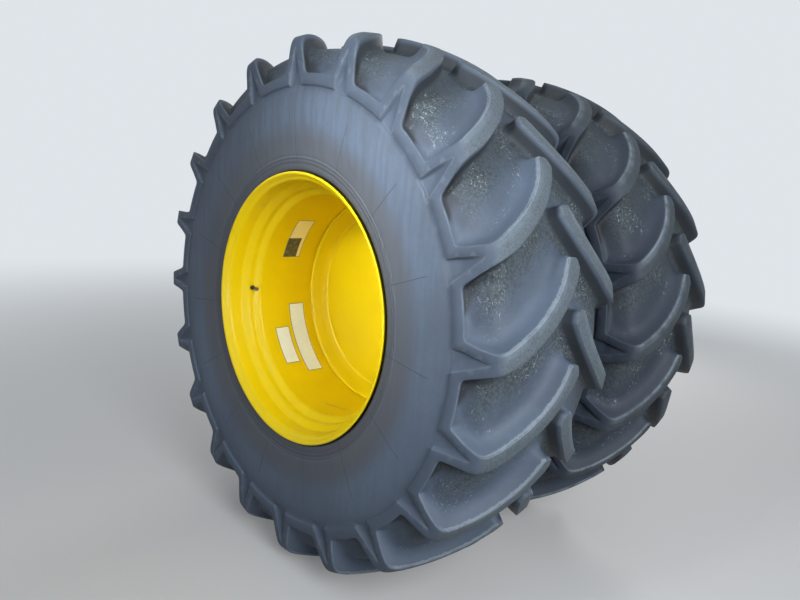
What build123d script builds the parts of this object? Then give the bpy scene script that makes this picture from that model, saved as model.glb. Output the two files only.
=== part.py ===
from build123d import *
import os
from math import atan2, cos, radians, sin, tan

# Twin drive wheel of a combine harvester with the final drive that carries it, in millimetres.
# The axle is the Y axis: -Y is outboard, +Y is inboard, +X is the machine's rear and +Z is up.
# The origin is the centre of the final drive's mounting face.

# Tyre, of the size class 650/85 R38, with its lugs a little worn
tyre_tip_r = 1020.0          # lug tips at the centre plane
section_w = 650.0            # width of the tyre at its widest
widest_r = 715.0             # radius of the widest place of the sidewall
shoulder_r = 800.0           # where the sidewall turns into the shoulder, under the lugs' feet
shoulder_in = 13.0           # how far the casing stays inside the widest place there
floor_r = 962.0              # valley floor between the lugs, at the centre plane
floor_half_w = 250.0         # half width of the valley floor
floor_drop = 28.0            # how much lower the floor is at its edge
tyre_flats = 40              # flat facets round the tread, two for each lug of a row
fit_gap = 0.3                # air between curved pieces that are pressed or welded together

# Lugs
lug_count = 20               # on each half of a tyre
lug_drop = 42.0              # how much lower a lug's top is at the shoulder than at the centre plane
lug_top_y = 300.0            # where the top of a lug turns down over the shoulder
lug_end_y = 312.0            # where a lug's outline from above ends
lug_foot_y = 240.0           # where the wider foot on the shoulder begins
lug_foot_r = 838.0           # how far down the sidewall a lug reaches
lug_foot_rise = 3.0          # how far a lug's foot stays inside the widest place
lug_foot_tall = 7.0          # how far the foot's outline stands over the lug's end
lug_draft = 12.0             # slope of a lug's walls, in degrees
lug_root = 95.0              # depth at which a lug's root is hidden in the casing
lug_stock = 10.0             # how far a lug's block stands over the tips before it is trimmed
lug_past_y = 60.0            # how far past the centre plane a lug's nose may reach
pocket_depth = 22.0          # how deep the hollow between a foot's two legs is, from the widest place
pocket_past = 8.0            # how far that hollow runs out below the foot
outer_nose = 18.9            # angle of a nose on the outboard half of the outer tyre, from +X towards +Z
inner_nose = 32.0            # the same on the inner tyre

# Rim, 23 inches wide and 38 inches across the bead seats
rim_w = 584.2                # between the flanges
rim_overall_w = 622.0
bead_r = 482.6
flange_r = 508.0
rim_t = 9.0                  # plate of the rim
well_r = 430.0               # inside of the flat barrel
well_half_w = 166.0
seat_half_w = 224.0          # where the step up from the barrel ends
seat_in_r = 468.0            # inside of the rim there

# Wheel disc
disc_t = 16.0
disc_face_y = 171.0          # from the rim's centre plane to the disc's open face
disc_flat_r = 384.0          # edge of the flat middle
disc_lip_y = 102.0           # from the rim's centre plane to the disc's welded lip
disc_lip_r = 416.0

# Dual arrangement
dual_spacing = 840.0         # between the centre planes of the two tyres
spacer_flange_t = 20.0
wheel_flange_r = 246.0       # the flanges that clamp the discs
drum_r = 182.0
pilot_r = 160.0              # centring boss of the hub, and the bores that fit it
pilot_gap = 0.2

# Final drive
hub_reach = 560.0            # from the mounting face to the face that carries the inner disc
hub_flange_t = 28.0
hub_barrel_r = 165.0
hub_barrel_len = 102.0
pilot_len = 36.0
hub_wall = 20.0              # end wall of the hub, in front of the spindle
spindle_r = 85.0
bearing_gap = 0.1            # running fit of the hub on its spindle
hub_gap = 6.0                # between the turning hub and the fixed carrier
cap_r = 96.0
cap_t = 14.0
mount_flange_r = 290.0
mount_flange_t = 30.0
mount_circle_r = 262.0
mount_bolt_count = 10
mount_hole_r = 11.0
neck_r = 205.0
gear_case_r = 262.0
gear_case_len = 110.0
neck_len = 140.0
carrier_r = 240.0
carrier_nose_r = 185.0
cover_r = 120.0
cover_t = 14.0
rib_count = 8
rib_t = 16.0
rib_h = 50.0
input_r = 24.0
input_len = 78.0             # how far the shaft stands out of the mounting face
journal_r = 32.0             # the shaft where it runs in the cover
input_gap = 0.1

# Valves, one on each wheel and opposite each other, so that the pair stays in balance
valve_r = 6.0
valve_len = 42.0
outer_valve_angle = 180.0
valve_y = 196.0              # from the rim's centre plane

disc_seat_y = disc_face_y + disc_t
spacer_len = dual_spacing - 2 * disc_seat_y
inner_wheel_y = disc_face_y - hub_reach
outer_wheel_y = inner_wheel_y - dual_spacing
outer_seat_y = outer_wheel_y + disc_seat_y
hub_back_y = hub_flange_t + hub_barrel_len - hub_reach
carrier_len = -hub_back_y - hub_gap - mount_flange_t - neck_len - gear_case_len


def ring(points):
    """A solid of revolution about the axle from (y, r) corners."""
    return revolve(make_face(Polyline(*[(r, y) for y, r in points], close=True)), Axis.Y)


def mirrored(points):
    """A half outline from (y, r) corners at y > 0, and its mirror image."""
    return points + [(-y, r) for y, r in reversed(points)]


def turned(part, angle):
    """The part turned about the axle so that its top comes to an angle from +X towards +Z."""
    return Rot(0, 90.0 - angle, 0) * part


def around(part, count, first):
    return [turned(part, first + 360.0 * i / count) for i in range(count)]


def flat_sided(start, end):
    """A solid between two outlines with matching corners, whose sides are flat."""
    faces = [Face(Wire.make_polygon(start)), Face(Wire.make_polygon(end))]
    for i in range(len(start)):
        j = (i + 1) % len(start)
        faces.append(Face(Wire.make_polygon([start[i], start[j], end[j], end[i]])))
    return Solid(Shell(faces))


def faceted_ring(points):
    """Frustums about the axle through (y, r) corners, with a flat facet for every half pitch of the lugs."""
    turns = [radians(360.0 * i / tyre_flats) for i in range(tyre_flats)]
    rings = [[(r * cos(t), y, r * sin(t)) for t in turns] for y, r in points]
    frustums = [flat_sided(low, high) for low, high in zip(rings, rings[1:])]
    return frustums[0].fuse(*frustums[1:])


def tyre_casing():
    """Crowned tread floor, sloped shoulders and bulged sidewalls, solid down to the bead seats."""
    edge_y = section_w / 2
    bead_y = rim_w / 2 - fit_gap
    edge = [(floor_half_w, floor_r - floor_drop), (edge_y - shoulder_in, shoulder_r), (edge_y, widest_r)]
    body = faceted_ring([(-y, r) for y, r in reversed(edge)] + [(0.0, floor_r)] + edge)
    lean = (widest_r - bead_r) / (edge_y - bead_y)
    past_y = edge_y + 1.0
    dish = faceted_ring([(bead_y, bead_r), (past_y, widest_r + lean * (past_y - edge_y))])
    bore_r = (bead_r + fit_gap) / cos(radians(180.0 / tyre_flats))
    bore = faceted_ring([(-section_w / 2, bore_r), (section_w / 2, bore_r)])
    return body.cut(dish, mirror(dish, Plane.XZ), bore)


def lug_envelope():
    """Everything under the lug tops, from past the centre plane over the shoulder to the lug's foot."""
    slope_y, slope_r = lug_top_y / 2, tyre_tip_r - lug_drop / 4
    return faceted_ring([(-lug_past_y, tyre_tip_r), (0.0, tyre_tip_r), (slope_y, slope_r),
                         (lug_top_y, tyre_tip_r - lug_drop), (section_w / 2 - lug_foot_rise, lug_foot_r)])


# A lug's outline from above: distance from the tyre's centre plane, and angle behind the nose in degrees
lug_plan = [(28.0, 0.3), (80.0, 5.0), (190.0, 10.9), (lug_end_y, 15.3),
            (lug_end_y, 18.5), (125.0, 11.8), (10.0, 5.1), (-18.0, 1.4)]
# The same lug's end from the side: whether at the foot, and angle behind the nose
lug_end = [(False, 15.1), (True, 13.8), (True, 21.2), (False, 18.4)]
# The hollow that splits its foot into two legs, from the side: radius, and angle behind the nose
lug_pocket = [(932.0, 16.5), (932.0, 17.6), (lug_foot_r - pocket_past, 20.1), (lug_foot_r - pocket_past, 15.8)]
lug_middle = 9.5


def grown(outline, amount):
    """The (x, y) corners of a clockwise outline, moved out by an amount."""
    moved = []
    for i, (x, y) in enumerate(outline):
        x0, y0 = outline[i - 1]
        x1, y1 = outline[(i + 1) % len(outline)]
        before = atan2(y - y0, x - x0)
        after = atan2(y1 - y, x1 - x)
        reach = amount / cos((after - before) / 2)
        moved.append((x - reach * sin((before + after) / 2), y + reach * cos((before + after) / 2)))
    return moved


def pocket():
    """The hollow in a lug's foot, which narrows towards its floor."""
    mouth = [(r * sin(radians(a - lug_middle)), r * cos(radians(a - lug_middle))) for r, a in lug_pocket]
    floor = grown(mouth, -pocket_depth * tan(radians(lug_draft)))
    outside_y = section_w / 2
    return flat_sided([(x, outside_y - pocket_depth, z) for x, z in floor], [(x, outside_y, z) for x, z in mouth])


def lug():
    """One lug with its middle at the top of the wheel and its nose ahead, towards -X."""
    top_r = tyre_tip_r + lug_stock
    root_r = floor_r - lug_root
    plan = [(top_r * sin(radians(a - lug_middle)), y) for y, a in lug_plan]
    root = grown(plan, (top_r - root_r) * tan(radians(lug_draft)))
    block = flat_sided([(x, y, top_r) for x, y in plan], [(x, y, root_r) for x, y in root])
    end_r = tyre_tip_r - lug_drop + lug_foot_tall
    turns = [(lug_foot_r if at_foot else end_r, radians(a - lug_middle)) for at_foot, a in lug_end]
    start, end = [[(r * sin(t), y, r * cos(t)) for r, t in turns] for y in (lug_foot_y, section_w / 2)]
    return ((block + flat_sided(start, end)) & lug_envelope()) - pocket()


def tyre(nose):
    """Casing and two rows of lugs, half a pitch apart, with the noses leading at the centre plane."""
    inboard = lug()
    outboard = mirror(inboard, Plane.XZ)
    pitch = 360.0 / lug_count
    lead = nose - lug_middle
    lugs = around(outboard, lug_count, lead) + around(inboard, lug_count, lead + pitch / 2)
    return tyre_casing().fuse(*lugs)


def rim():
    """Constant plate from lip to lip: flange, bead seat, step down and flat barrel."""
    tyre_side = [(well_half_w - rim_t / 2, well_r + rim_t), (seat_half_w - rim_t / 2, bead_r - 2.0),
                 (rim_w / 2, bead_r), (rim_overall_w / 2, flange_r)]
    open_side = [(rim_w / 2 - rim_t, bead_r - rim_t), (seat_half_w, seat_in_r), (well_half_w, well_r)]
    return ring(mirrored(tyre_side + open_side))


def disc(bore_r):
    """Dished disc for a wheel at the origin whose open side faces -Y. The outer wheel's has no bore."""
    edge_r = well_r - fit_gap
    slope = (disc_face_y - disc_lip_y) / (disc_lip_r - disc_flat_r)
    back_r = disc_flat_r + disc_t / 2
    open_side = [(disc_face_y, bore_r), (disc_face_y, disc_flat_r), (disc_lip_y, disc_lip_r), (disc_lip_y, edge_r)]
    back = [(disc_seat_y - slope * (edge_r - back_r), edge_r), (disc_seat_y, back_r), (disc_seat_y, bore_r)]
    return ring(open_side + back)


def valve(angle):
    """Valve stem standing in from the rim's step, for a wheel at the origin."""
    step = (seat_in_r - well_r) / (seat_half_w - well_half_w)
    root_r = well_r + step * (valve_y - valve_r - well_half_w) - fit_gap
    plane = Plane((0, -valve_y, root_r), z_dir=(0, 0, -1))
    return turned(extrude(plane * Circle(valve_r), amount=valve_len), angle)


def spacer():
    bore_r = pilot_r + pilot_gap
    end = [(0.0, bore_r), (0.0, wheel_flange_r), (spacer_flange_t, wheel_flange_r), (spacer_flange_t, drum_r)]
    far = [(spacer_len - y, r) for y, r in reversed(end)]
    return Pos(0, outer_seat_y, 0) * ring(end + far)


def hub():
    """Turning hub: boss, wheel flange and barrel, bored for the spindle."""
    bore_r = spindle_r + bearing_gap
    back = hub_flange_t + hub_barrel_len
    outline = [(-pilot_len, 0.0), (-pilot_len, pilot_r), (0.0, pilot_r), (0.0, wheel_flange_r),
               (hub_flange_t, wheel_flange_r), (back, hub_barrel_r), (back, bore_r),
               (hub_wall - pilot_len, bore_r), (hub_wall - pilot_len, 0.0)]
    return Pos(0, -hub_reach, 0) * ring(outline)


def hub_cap():
    return ring([(y - hub_reach - pilot_len, r) for y, r in [(-cap_t, 0), (-cap_t, cap_r), (0, cap_r), (0, 0)]])


def housing():
    """Fixed casting: mounting flange, neck and ribs."""
    back = -mount_flange_t
    front = back - neck_len
    outline = [(0.0, cover_r + fit_gap), (0.0, mount_flange_r), (back, mount_flange_r), (back, neck_r),
               (front, carrier_r), (front, 0.0), (-cover_t, 0.0), (-cover_t, cover_r + fit_gap)]
    body = ring(outline)
    rib_side = [(back, neck_r - 8.0), (back, neck_r + rib_h), (front, carrier_r), (front, neck_r - 8.0)]
    rib = extrude(Plane.YZ * make_face(Polyline(*rib_side, close=True)), amount=rib_t / 2, both=True)
    body = body.fuse(*around(rib, rib_count, 0.0))
    hole_plane = Plane((0, 0, mount_circle_r), z_dir=(0, -1, 0))
    hole = extrude(hole_plane * Circle(mount_hole_r), amount=mount_flange_t)
    return body.cut(*around(hole, mount_bolt_count, 90.0))


def gear_case():
    front = -mount_flange_t - neck_len
    back = front - gear_case_len
    return ring([(front, 0.0), (front, gear_case_r), (back, gear_case_r), (back, 0.0)])


def carrier():
    """Bearing carrier with the spindle that the hub turns on."""
    base = -mount_flange_t - neck_len - gear_case_len
    nose = base - carrier_len
    tip = -hub_reach - pilot_len + hub_wall + hub_gap
    return ring([(base, 0.0), (base, carrier_r), (nose, carrier_nose_r), (nose, spindle_r), (tip, spindle_r),
                 (tip, 0.0)])


def input_cover():
    bore_r = journal_r + input_gap
    return ring([(0.0, bore_r), (0.0, cover_r), (-cover_t, cover_r), (-cover_t, bore_r)])


def input_shaft():
    """Journal in the cover, and a sloped shoulder down to the driven end."""
    back = fit_gap - cover_t
    shoulder_y = journal_r - input_r
    return ring([(back, 0.0), (back, journal_r), (0.0, journal_r), (shoulder_y, input_r), (input_len, input_r),
                 (input_len, 0.0)])


def parts():
    """Every node of the model at its place."""
    outer = Pos(0, outer_wheel_y, 0)
    inner = Pos(0, inner_wheel_y, 0)
    bored_disc = disc(pilot_r + pilot_gap)
    return {
        "outer_tyre": outer * tyre(outer_nose),
        "outer_rim": outer * rim(),
        "outer_disc": outer * disc(0.0),
        "outer_valve": outer * valve(outer_valve_angle),
        "dual_spacer": spacer(),
        "inner_tyre": inner * tyre(inner_nose),
        "inner_rim": inner * rim(),
        "inner_disc": inner * mirror(bored_disc, Plane.XZ),
        "inner_valve": inner * mirror(valve(outer_valve_angle + 180.0), Plane.XZ),
        "hub": hub(),
        "hub_cap": hub_cap(),
        "final_drive_housing": housing(),
        "gear_case": gear_case(),
        "bearing_carrier": carrier(),
        "input_cover": input_cover(),
        "input_shaft": input_shaft(),
    }


os.makedirs("parts", exist_ok=True)
for name, solid in parts().items():
    export_step(solid, f"parts/{name}.step")
    print(name, round(solid.volume), len(solid.solids()))
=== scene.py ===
"""Looks of the twin drive wheel with its final drive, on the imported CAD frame.

The axle is the Y axis: -Y is outboard, +X is the machine's rear and +Z is up. Units are metres, and mm in the
tables of the tread, the wheels and the small parts.
"""
from math import acos, ceil, cos, degrees, pi, radians, sin, tan

import bmesh
import bpy
import numpy as np
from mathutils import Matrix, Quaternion, Vector
from mathutils.geometry import delaunay_2d_cdt


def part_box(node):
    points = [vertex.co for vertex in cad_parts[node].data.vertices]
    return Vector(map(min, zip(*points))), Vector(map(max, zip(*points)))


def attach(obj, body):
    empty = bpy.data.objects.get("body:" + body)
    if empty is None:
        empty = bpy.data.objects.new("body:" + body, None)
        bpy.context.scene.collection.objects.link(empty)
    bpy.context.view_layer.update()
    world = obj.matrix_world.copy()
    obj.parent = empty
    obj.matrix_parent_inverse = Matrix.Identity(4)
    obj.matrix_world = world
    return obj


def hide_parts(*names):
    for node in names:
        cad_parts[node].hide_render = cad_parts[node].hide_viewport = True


MM = 0.001
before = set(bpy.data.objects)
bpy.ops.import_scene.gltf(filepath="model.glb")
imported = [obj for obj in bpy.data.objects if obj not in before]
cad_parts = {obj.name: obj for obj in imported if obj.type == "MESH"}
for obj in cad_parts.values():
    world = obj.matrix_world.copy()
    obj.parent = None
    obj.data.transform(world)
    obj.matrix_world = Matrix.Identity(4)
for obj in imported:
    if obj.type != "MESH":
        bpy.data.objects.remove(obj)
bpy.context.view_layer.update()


# Places read from the frame

def ends_y(node):
    """The low and the high end of a node along the axle, in mm."""
    return [corner.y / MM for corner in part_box(node)]


def middle_y(node):
    low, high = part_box(node)
    return (low.y + high.y) / 2


outer_y = middle_y("outer_tyre")
inner_y = middle_y("inner_tyre")
flange_y = ends_y("outer_rim")[0]

# Tread, in mm and degrees
lug_count = 20  # in each of the two rows
pitch = 360 / lug_count
outer_nose = 18.9  # angle of a nose of the outboard row, from +X towards +Z
inner_nose = 32
sidewall_top_r = 780  # where the tread mesh ends and the sidewall mesh begins
sidewall_columns = 24  # in each pitch

# Section of the tread: y and r on the lug tops, then y and r on the valley floor beside them
section = [
    (0, 1020, 0, 962),
    (75, 1017.3, 74, 959.4),
    (150, 1009.5, 147, 951.7),
    (210, 999.5, 203, 943),
    (250, 990.5, 240, 935),
    (280, 982, 262, 925),
    (302, 971, 277, 912),
    (314, 953, 285, 896),
    (319, 925, 292, 876),
    (321, 885, 298.5, 858),
    (322, 855, 303.5, 844),
    (323.2, 830, 313.2, 823),
    (324.6, 805, 313, 802),
    (324.9, sidewall_top_r, 312, sidewall_top_r),
]
# The lugs' feet and the rib between them stand over the sidewall by a step, which is lower at their foot
foot_step = 8
foot_step_low = 5
foot_step_r = (799, 806.5)
# What tread_depth is below the step, where 0 is a lug's top and 1 a valley floor
foot_depth = 0.5
section_steps = 8  # stretches of the smooth section to each stretch of the table


def smooth_rows(rows, steps):
    """Rows of numbers with smooth ones set between them, on a curve through all the rows."""
    rows = np.array(rows, float)
    ends = np.vstack([2 * rows[0] - rows[1], rows, 2 * rows[-1] - rows[-2]])
    out = []
    for a, b, c, d in zip(ends, ends[1:], ends[2:], ends[3:]):
        square = 2 * a - 5 * b + 4 * c - d
        cube = 3 * b - a - 3 * c + d
        for t in np.arange(steps) / steps:
            out.append(0.5 * (2 * b + (c - a) * t + square * t ** 2 + cube * t ** 3))
    out.append(rows[-1])
    return np.array(out)


def smooth_share(value, low, high):
    t = np.clip((np.asarray(value) - low) / (high - low), 0, 1)
    return t * t * (3 - 2 * t)


fine_section = smooth_rows(section, section_steps)
section_run = np.concatenate([[0], np.cumsum(np.hypot(*np.diff(fine_section[:, :2], axis=0).T))])
tread_end = section_run[-1]


def section_at(w):
    """Columns of the section at distances w along the lug tops from the centre plane."""
    return [np.interp(np.abs(w), section_run, column) for column in fine_section.T]


def foot_drop(r):
    """How much lower the sidewall lies than the lugs' feet, by radius."""
    height = np.interp(r, [sidewall_top_r, foot_step_r[0]], [foot_step_low, foot_step])
    return height * (1 - smooth_share(r, *foot_step_r))


def run_at_y(y):
    return float(np.interp(y, fine_section[:, 0], section_run))


def run_at_r(r):
    return float(np.interp(-r, -fine_section[:, 1], section_run))


# A lug's outline from above, for the outboard row. Each corner has its distance along the section, its
# degrees behind the nose and its radius.
rib_r = 843  # upper edge of the rib that joins the lugs' feet
rib_middle = 26.5  # behind the nose
comb_back = [
    (run_at_r(rib_r), 13.6, 16), (run_at_r(900), 14.6, 200), (run_at_y(306), 15.2, 60),
    (run_at_y(249), 13.1, 400), (run_at_y(188), 10.8, 500), (run_at_y(117), 7.4, 500),
    (run_at_y(65), 4, 400), (run_at_y(30), 0.3, 16),
]
comb_front = [
    (-run_at_y(10), 0.5, 16), (-run_at_y(20), 2.3, 16), (run_at_y(15), 5.4, 400),
    (run_at_y(68), 8.7, 500), (run_at_y(125), 11.7, 500), (run_at_y(180), 14.1, 500),
    (run_at_y(240), 16.6, 400), (run_at_y(305), 18.4, 100), (run_at_r(920), 19.4, 200),
    (run_at_r(rib_r), 21.3, 22),
]
# The hollow between the two legs of a lug's foot, which runs out into the sidewall
pocket_apex_r = 947
pocket_end_r = 793
pocket = [
    (run_at_r(pocket_apex_r), 16.9, 7),
    (run_at_r(pocket_end_r), 20.8, 3),
    (run_at_r(pocket_end_r), 15.3, 3),
    (run_at_r(840), 15.6, 30),
]
pocket_split = 17  # degrees behind the nose, between the hollow's upper and lower edges
# Where one pitch is cut from the next, in the valley: distance along the section, degrees
cut = [
    (tread_end, 26.5), (run_at_r(880), 26.5), (run_at_y(250), 24), (150, 19.9), (60, 15.6),
    (30, 15), (0, 15.6), (-20, 17.4), (-40, 19.8), (-60, 23), (-150, 28.9),
    (-run_at_y(250), 33), (-run_at_r(880), 35.5), (-tread_end, 35.5),
]
cut_radius = 40
lug_turns = (0, pitch, 2 * pitch)  # lugs that reach into one pitch
plan_middle = 31  # degrees at the middle of the plan
# Longest stretches of the outlines in the plan
comb_step, pocket_step, cut_step = 15, 9, 12
corner_share = 0.48  # of a stretch, the most that the rounding of its corner takes
corner_turn = 14  # degrees that a rounded corner turns in one stretch


def plan_x(w, a):
    return np.radians(np.asarray(a) - plan_middle) * section_at(w)[1]


def plan_a(x, w):
    return np.degrees(np.asarray(x) / section_at(w)[1]) + plan_middle


def row_turn(side, first):
    """Degrees of a lug's nose in its row. The two rows lie half a pitch apart."""
    return first + (pitch / 2 if side < 0 else 0)


def plan_corners(table, side=1, turn=0):
    """Corners (x, w, radius) in the plan, from distances along the section, degrees and radii."""
    return [(float(plan_x(side * w, a + turn)), side * w, radius) for w, a, radius in table]


def between(start, end, step):
    """Points along a straight stretch, without its ends, no further apart than step."""
    parts = max(1, ceil(np.linalg.norm(end - start) / step))
    return [start + (end - start) * k / parts for k in range(1, parts)]


def rounded(corners, step, closed=False):
    """A polyline through (x, w, radius) corners with each corner rounded and no stretch longer than step."""
    points = []
    for i, (x, w, radius) in enumerate(corners):
        here = np.array([x, w])
        arc = [here]
        if closed or 0 < i < len(corners) - 1:
            before = np.array(corners[i - 1][:2]) - here
            after = np.array(corners[(i + 1) % len(corners)][:2]) - here
            lb, la = np.linalg.norm(before), np.linalg.norm(after)
            turn = pi - acos(np.clip(before @ after / (lb * la), -1, 1))
            reach = min(radius * tan(turn / 2), corner_share * lb, corner_share * la)
            start = here + before / lb * reach
            end = here + after / la * reach
            samples = max(2, ceil(degrees(turn) / corner_turn), ceil(2 * reach / step))
            arc = [start * (1 - t) ** 2 + 2 * here * t * (1 - t) + end * t ** 2
                   for t in np.linspace(0, 1, samples + 1)]
        if points:
            points += between(points[-1], arc[0], step)
        points += arc
    if closed:
        points += between(points[-1], points[0], step)
    return np.array(points)


def comb(first, side):
    """One pitch of a row's outline in the plan, and for each stretch whether it is a lug's steep side."""
    rib_w = run_at_r(rib_r)
    table = [(rib_w, rib_middle - pitch, 0)] + comb_back + comb_front + [(rib_w, rib_middle, 0)]
    line = rounded(plan_corners(table, side, row_turn(side, first)), comb_step)
    nose = np.argmin(plan_a(line[:, 0], line[:, 1]))
    return line, np.arange(len(line)) >= nose


def distances(points, line, chosen=None, block=400):
    """Distance from each point to a polyline, or to its chosen stretches."""
    a, b = line[:-1], line[1:]
    if chosen is not None:
        a, b = a[chosen], b[chosen]
    d = b - a
    length = np.maximum((d ** 2).sum(1), 1e-9)
    out = []
    for start in range(0, len(points), block):
        p = points[start:start + block, None, :]
        t = np.clip(((p - a) * d).sum(2) / length, 0, 1)
        out.append(np.sqrt((((a + d * t[..., None]) - p) ** 2).sum(2)).min(1))
    return np.concatenate(out)


def inside(points, loop):
    """Whether each point lies inside a closed polyline."""
    a, b = loop, np.roll(loop, -1, axis=0)
    px, pw = points[:, 0, None], points[:, 1, None]
    crosses = (a[:, 1] > pw) != (b[:, 1] > pw)
    rise = np.where(np.abs(b[:, 1] - a[:, 1]) < 1e-12, 1e-12, b[:, 1] - a[:, 1])
    at = a[:, 0] + (pw - a[:, 1]) / rise * (b[:, 0] - a[:, 0])
    return (crosses & (px < at)).sum(1) % 2 == 1


def beside(line, offset, closed=False):
    """A line's points moved sideways."""
    ahead = np.roll(line, -1, axis=0) - np.roll(line, 1, axis=0)
    if not closed:
        ahead[0] = line[1] - line[0]
        ahead[-1] = line[-1] - line[-2]
    normal = np.column_stack([ahead[:, 1], -ahead[:, 0]]) / np.linalg.norm(ahead, axis=1)[:, None]
    return line + normal * offset


far_off = 1e9  # a distance beyond any in the plan
least_depth = 0.5
edge_drop = 2.4  # how much a lug's worn edge is rounded off
# Distances outside a lug's edge, and how far its worn top has sunk there
edge_wear = ((-4, -1.5, 0), (0, 0.8, edge_drop))
edge_reach = 30  # distance from an edge where tread_edge comes to 1
# Draft and fillet of a lug's steep side (True) and its gentle side (False)
walls = {True: (12, 20), False: (20, 45)}
fillet_share = 0.85  # of a wall's length, the most that its fillet takes
pocket_depth = 24
pocket_growth = 0.7  # power by which the hollow deepens towards its apex
pocket_fillet = 7
pocket_upper_draft = 14
pocket_lower_draft = (18, 48)  # at the apex, and from pocket_slot below it on
pocket_slot = 60
pocket_mark = 60  # a hollow's depth that counts as 1 in tread_depth
# Rings of points along the edges of lugs and hollows, by their distance outside, and their spare room
edge_rings = (-4, -1.5, 0, 4.5, 9, 14, 22, 33)
pocket_rings = (0.8, -0.6, -3.5, -7, -12)
edge_spare, pocket_spare, cut_spare, row_spare = 0.4, 0.6, 2, 3
# Loose points between the rings: their spacing, and how far they stay from the ends, the rings and the cuts
grid_x, grid_w = 16, 14
grid_margins = (9, 4)
grid_clear, grid_cut_clear = 8, 6


def wall(d, depth, draft, fillet):
    """Depth below a lug's top at a distance d outside its edge, down a sloped wall and its fillet."""
    slope = np.radians(draft)
    half = np.tan((pi / 2 - slope) / 2)
    tangent = np.minimum(fillet * half, fillet_share * depth / np.cos(slope))
    radius = tangent / half
    foot = depth * np.tan(slope)
    start = foot - tangent * np.sin(slope)
    end = foot + tangent
    arc = depth - radius + np.sqrt(np.maximum(radius ** 2 - (end - d) ** 2, 0))
    return np.where(d < start, d / np.tan(slope), np.where(d < end, arc, depth))


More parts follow.
